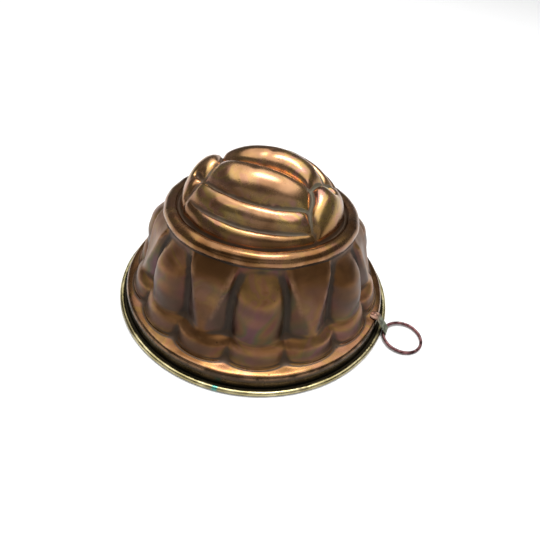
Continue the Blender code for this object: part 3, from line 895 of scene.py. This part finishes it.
def tarnished_copper():
    """Outside of the mould: brown copper, coloured bloom, grey walls, grime in the creases, with painted
    highlight on the crown and painted shade on the steep walls, in the creases and by the flange.
    """
    paint = Paint("tarnished_copper", 1.0, 0.3)
    crease = paint.field("crease")
    wall = paint.field("wall")
    skirt = paint.field("skirt")
    tilt = paint.upward()

    x, _, z = paint.axes()

    # brown copper in patches, brighter on the crown: partly wear, partly painted highlight where the
    # crown faces the overhead lamps
    crown = paint.between(z, *CROWN_Z)
    patches = paint.noise(0.030, 4.0, 0.6)
    base = paint.mix(paint.between(patches, 0.35, 0.68), COPPER_DARK, COPPER_BROWN)
    worn = paint.between(paint.noise(0.018, 3.0, 0.4), 0.40, 0.64, 0.45, 1.0)
    base = paint.over(base, COPPER_WORN_AND_HIGHLIGHT, paint.both(crown, worn), 0.80)

    # coloured bloom of the tarnish, strongest and brightest on the crown, partly as painted highlight
    bloom = paint.ramp(paint.noise(0.022, 2.5, 1.6), BLOOM)
    bloom_and_highlight = paint.between(paint.noise(0.034, 2.0, 0.8), 0.38, 0.60, 0.0, 0.65)
    bloom_and_highlight = paint.both(bloom_and_highlight, paint.between(crown, 0.0, 1.0, 0.25, 1.0))
    base = paint.mix(bloom_and_highlight, base, bloom)

    # grey walls and a dark skirt, except where the sheet faces up: the grey is partly tarnish and partly
    # painted shade on the steep faces, and the skirt's dark is painted shade
    steep_tarnish_and_shade = paint.between(tilt, 0.15, 0.44, 1.0, 0.0)
    grey = paint.mottled(0.022, 3.0, 0.35, 0.65, WALL_GREY, WALL_MAUVE, 0.5)
    sheen = paint.ramp(paint.noise(0.034, 1.5, 1.2), WALL_BLOOM)
    grey = paint.mix(paint.between(paint.noise(0.040, 2.0, 0.5), 0.42, 0.66, 0.0, 0.8), grey, sheen)
    base = paint.over(base, grey, paint.both(steep_tarnish_and_shade, wall), 0.93)
    shaded = paint.between(tilt, 0.45, 0.92, 1.0, 0.0)
    base = paint.over(base, SKIRT_SHADE, paint.both(shaded, skirt), 0.92)

    # crests rubbed bright in places
    crest = paint.between(crease, -0.75, -0.15, 1.0, 0.0)
    rubbed = paint.both(crest, paint.between(paint.noise(0.009, 3.0), 0.40, 0.62))
    base = paint.over(base, COPPER_WORN_AND_HIGHLIGHT, rubbed, 0.40)

    # painted shade and grime in the hollows, and a chalky deposit in those of the crown, most towards
    # the hanger
    hollow = paint.between(crease, 0.04, 0.42)
    base = paint.over(base, GRIME_AND_SHADE, hollow, 0.85)
    cloud = paint.between(paint.noise(0.016, 4.0, 0.4), 0.50, 0.66)
    near = paint.both(
        paint.between(x, AXIS_X + DEPOSIT_X[0], AXIS_X + DEPOSIT_X[1]),
        paint.between(z, *DEPOSIT_Z),
    )
    cloud = paint.math("MAXIMUM", cloud, paint.both(near, 0.8))
    chalk = paint.both(paint.both(paint.between(crease, 0.05, 0.35), cloud), crown)
    base = paint.over(base, DEPOSIT, chalk, 0.75)

    # painted shade: almost black down by the flange, where the groove under the skirt lies in shadow
    flange = paint.between(z, *FLANGE_Z, 1.0, 0.0)
    base = paint.over(base, FLANGE_SHADE, flange, 0.95)

    # dark pits of two sizes, in patches
    pit = paint.between(paint.spots(0.0105), 0.035, 0.085, 1.0, 0.0)
    pit = paint.both(pit, paint.between(paint.noise(0.020, 2.0), 0.50, 0.56))
    fine_pit = paint.between(paint.spots(0.0042), 0.05, 0.12, 1.0, 0.0)
    fine_pit = paint.both(fine_pit, paint.between(paint.noise(0.013, 2.0, 0.3), 0.54, 0.60))
    base = paint.over(base, GRIME_AND_SHADE, pit, 0.85)
    base = paint.over(base, GRIME_AND_SHADE, fine_pit, 0.6)
    paint.colour(base)

    # rougher on the walls, and rougher and less metallic where it is dirty
    rough = paint.between(paint.noise(0.012, 4.0, 0.3), 0.3, 0.7, 0.20, 0.31)
    rough = paint.math("ADD", rough, paint.both(wall, 0.17))
    rough = paint.math("ADD", rough, paint.both(hollow, 0.28))
    rough = paint.math("ADD", rough, paint.both(flange, 0.30))
    rough = paint.math("ADD", rough, paint.both(chalk, 0.25), clamp=True)
    paint.roughness(rough)
    paint.metallic(paint.between(paint.math("ADD", chalk, paint.both(hollow, 0.8)), 0.0, 1.0, 1.0, 0.35))

    paint.bump(paint.noise(0.0022, 3.0), 0.03 * MM, 0.35)
    paint.bump(paint.noise(0.0075, 3.0, 0.3), 0.10 * MM, 0.30)
    paint.bump(paint.math("ADD", pit, fine_pit), -0.08 * MM, 0.8)
    return paint.mat


def tinned_inside():
    """Old tin lining: grey, wiped thin over the ribs, with brown stains."""
    paint = Paint("old_tin_lining", 1.0, 0.42)
    cloud = paint.noise(0.020, 4.0, 0.5)
    base = paint.mix(paint.between(cloud, 0.35, 0.65), TIN_DULL, TIN_BRIGHT)
    stain = paint.between(paint.noise(0.030, 4.0, 1.0), 0.56, 0.68)
    base = paint.over(base, TIN_STAIN, stain, 0.7)
    thin = paint.between(paint.field("crease"), 0.25, 0.9)
    base = paint.over(base, TIN_WORN, thin, 0.6)
    paint.colour(base)
    paint.roughness(paint.between(paint.noise(0.010, 3.0), 0.3, 0.7, 0.34, 0.52))
    paint.bump(paint.noise(0.004, 4.0), 0.08 * MM, 0.5)
    return paint.mat


def pale_brass():
    """The rolled binding: pale brass, dull in patches, dark inside and green in one spot."""
    paint = Paint("pale_brass", 1.0, 0.3)
    base = paint.mottled(0.012, 3.0, 0.35, 0.65, BRASS_DARK, BRASS_PALE)
    dull = paint.between(paint.noise(0.024, 3.0, 0.6), 0.50, 0.66)
    base = paint.over(base, BRASS_DULL, dull, 0.65)
    base = paint.mix(paint.field("crease"), base, BRASS_BORE)
    x, y, z = paint.axes()
    low = paint.between(z, *FOOT_Z, 1.0, 0.0)
    base = paint.over(base, BRASS_FOOT, low, 0.75)
    spot = paint.math("ABSOLUTE", paint.math("SUBTRACT", x, AXIS_X + VERDIGRIS_X))
    ragged = paint.both(paint.noise(0.003, 3.0), 3.0 * MM)
    green = paint.both(
        paint.between(paint.math("ADD", spot, ragged), *VERDIGRIS_HALF, 1.0, 0.0),
        paint.between(y, *VERDIGRIS_Y, 1.0, 0.0),
    )
    base = paint.mix(green, base, VERDIGRIS)
    paint.colour(base)
    paint.roughness(paint.between(paint.noise(0.006, 3.0), 0.3, 0.7, 0.22, 0.42))
    paint.bump(paint.noise(0.0014, 3.0), 0.03 * MM, 0.5)
    return paint.mat


def strap_metal():
    """Copper strip: pink where it is rubbed, grey-green where it holds the ring."""
    paint = Paint("strap_copper", 1.0, 0.4)
    x, _, _ = paint.axes()
    outward = paint.math("ADD", x, paint.both(paint.noise(0.004, 3.0), 3.0 * MM))
    aged = paint.between(outward, AXIS_X + STRAP_GREEN_X[0], AXIS_X + STRAP_GREEN_X[1])
    copper = paint.mottled(0.003, 3.0, 0.38, 0.62, STRAP_DARK, STRAP_PINK)
    verdigris = paint.mottled(0.002, 4.0, 0.38, 0.62, STRAP_GREY, STRAP_GREEN)
    paint.colour(paint.mix(aged, copper, verdigris))
    paint.roughness(paint.between(aged, 0.0, 1.0, 0.32, 0.62))
    paint.metallic(paint.between(aged, 0.0, 1.0, 1.0, 0.45))
    paint.bump(paint.noise(0.0011, 4.0), 0.06 * MM, 0.6)
    return paint.mat


def rivet_metal():
    """Hammered copper, pinker than the strap."""
    paint = Paint("rivet_copper", 1.0, 0.3)
    base = paint.mottled(0.0012, 3.0, 0.38, 0.62, RIVET_DARK, RIVET_PINK)
    paint.colour(base)
    paint.roughness(paint.between(paint.noise(0.0009, 2.0), 0.3, 0.7, 0.24, 0.42))
    paint.bump(paint.noise(0.0006, 3.0), 0.03 * MM, 0.6)
    return paint.mat


def ring_metal():
    """Purple-brown oxidised wire, rubbed lighter in places."""
    paint = Paint("oxidised_wire", 1.0, 0.38)
    base = paint.mottled(0.0045, 4.0, 0.36, 0.62, RING_DARK, RING_PURPLE, 0.5)
    rubbed = paint.between(paint.noise(0.0030, 3.0), 0.56, 0.70)
    base = paint.over(base, RING_RUBBED, rubbed, 0.35)
    paint.colour(base)
    paint.roughness(paint.between(paint.noise(0.002, 3.0), 0.3, 0.7, 0.28, 0.50))
    paint.bump(paint.noise(0.0009, 3.0), 0.05 * MM, 0.6)
    return paint.mat


def iron_metal():
    """Dull iron wire inside the binding."""
    paint = Paint("dull_iron", 1.0, 0.55)
    base = paint.mottled(0.004, 4.0, 0.4, 0.62, IRON_GREY, IRON_RUST)
    paint.colour(base)
    paint.roughness(paint.between(paint.noise(0.002, 3.0), 0.3, 0.7, 0.45, 0.70))
    paint.bump(paint.noise(0.001, 3.0), 0.05 * MM, 0.5)
    return paint.mat


# ---------------------------------------------------------------- studio
CAMERA_AWAY = 4.0                 # rim radii from the middle of the rim
CAMERA_HEIGHT = math.radians(44.014)    # angle above the floor
CAMERA_ROUND = math.radians(20.3)       # angle round the mould, from its -Y side
CAMERA_PAN = 0.0253378                  # radians away from the middle of the rim, to the right
CAMERA_NOD = 0.0301976                  # and upward
CAMERA_ROLL = math.radians(5.45)
CAMERA_LENS = 34.786                    # for a sensor 36 mm wide

FLOOR_HALF = 4.0
FLOOR_DROP = 0.05 * MM            # the floor is just below the mould
FLOOR_GREY = (0.93, 0.93, 0.93)
FLOOR_WHITE = (0.95, 0.95, 0.95)

WORLD_STRENGTH = 0.16
# name, place, target, size and watts; a place is a direction in degrees, a distance and a height
SOFTBOXES = (
    ("overhead", (170.0, 0.25, 1.15), (170.0, 0.25, 0.00), (2.0, 1.8), 20.0),
    ("key", (170.0, 0.12, 1.00), (0.0, 0.0, 0.05), (0.42, 0.26), 5.0),
    ("front", (0.0, 1.20, 0.55), (0.0, 0.0, 0.05), (2.6, 0.50), 1.5),
)


def build_floor():
    """A wide pale floor."""
    mesh = bpy.data.meshes.new("floor")
    corners = [(-1, -1), (1, -1), (1, 1), (-1, 1)]
    verts = [(FLOOR_HALF * x, FLOOR_HALF * y, -FLOOR_DROP) for x, y in corners]
    mesh.from_pydata(verts, [], [(0, 1, 2, 3)])
    floor = bpy.data.objects.new("floor", mesh)
    bpy.context.scene.collection.objects.link(floor)
    paint = Paint("pale_floor", 0.0, 0.75)
    paint.colour(paint.mix(paint.noise(0.4, 2.0), FLOOR_GREY, FLOOR_WHITE))
    mesh.materials.append(paint.mat)


def add_softbox(name, place, target, size, power):
    """A white rectangular lamp that faces its target."""
    light = bpy.data.lights.new(name, "AREA")
    light.shape = "RECTANGLE"
    light.size = size[0]
    light.size_y = size[1]
    light.energy = power
    lamp = bpy.data.objects.new(name, light)
    bpy.context.scene.collection.objects.link(lamp)
    lamp.location = place
    lamp.rotation_euler = (Vector(target) - Vector(place)).to_track_quat("-Z", "Y").to_euler()


def studio_point(direction, distance, height):
    """A point at a direction round the mould, seen from above; 0 is the camera's side."""
    angle = CAMERA_ROUND - math.pi / 2.0 + math.radians(direction)
    return (distance * math.cos(angle), distance * math.sin(angle), height)


def build_lights():
    """A dim even surround and three softboxes."""
    world = bpy.data.worlds.new("studio")
    world.use_nodes = True
    world.node_tree.nodes["Background"].inputs["Color"].default_value = (1.0, 1.0, 1.0, 1.0)
    world.node_tree.nodes["Background"].inputs["Strength"].default_value = WORLD_STRENGTH
    bpy.context.scene.world = world
    bpy.context.scene.view_settings.view_transform = "Standard"
    for name, place, target, size, power in SOFTBOXES:
        add_softbox(name, studio_point(*place), studio_point(*target), size, power)


def build_camera():
    """Aim at the middle of the rim, then pan, nod and roll, and turn it all round the mould."""
    camera = bpy.data.cameras.new("camera")
    camera.lens = CAMERA_LENS
    camera.sensor_width = 36.0
    camera.clip_start = 0.01
    holder = bpy.data.objects.new("camera", camera)
    bpy.context.scene.collection.objects.link(holder)
    height = math.sin(CAMERA_HEIGHT)
    back = math.cos(CAMERA_HEIGHT)
    ahead = Vector((0.0, back, -height))
    right = Vector((1.0, 0.0, 0.0))
    up = right.cross(ahead)
    ahead, right = (
        ahead * math.cos(CAMERA_PAN) + right * math.sin(CAMERA_PAN),
        right * math.cos(CAMERA_PAN) - ahead * math.sin(CAMERA_PAN),
    )
    ahead, up = (
        ahead * math.cos(CAMERA_NOD) + up * math.sin(CAMERA_NOD),
        up * math.cos(CAMERA_NOD) - ahead * math.sin(CAMERA_NOD),
    )
    right, up = (
        right * math.cos(CAMERA_ROLL) + up * math.sin(CAMERA_ROLL),
        up * math.cos(CAMERA_ROLL) - right * math.sin(CAMERA_ROLL),
    )
    facing = Matrix((right, up, -ahead)).transposed().to_4x4()
    away = Vector((0.0, -back, height)) * CAMERA_AWAY * RIM_RADIUS
    turn = Matrix.Rotation(CAMERA_ROUND, 4, "Z")
    holder.matrix_world = (
        Matrix.Translation((AXIS_X, 0.0, RIM_HEIGHT)) @ turn @ Matrix.Translation(away) @ facing
    )
    bpy.context.scene.camera = holder


def build():
    """Everything, in order: pieces, floor, lights, camera."""
    build_shell(tarnished_copper(), tinned_inside())
    build_binding(pale_brass())
    build_strap(strap_metal())
    rivet = rivet_metal()
    for seed, (node, radius) in enumerate(RIVETS, start=50):
        build_rivet(node, radius, rivet, seed)
    build_ring(ring_metal())
    wire = frame["nodes"]["rim_wire"]
    wire.data.materials.clear()
    wire.data.materials.append(iron_metal())
    build_floor()
    build_lights()
    build_camera()


build()
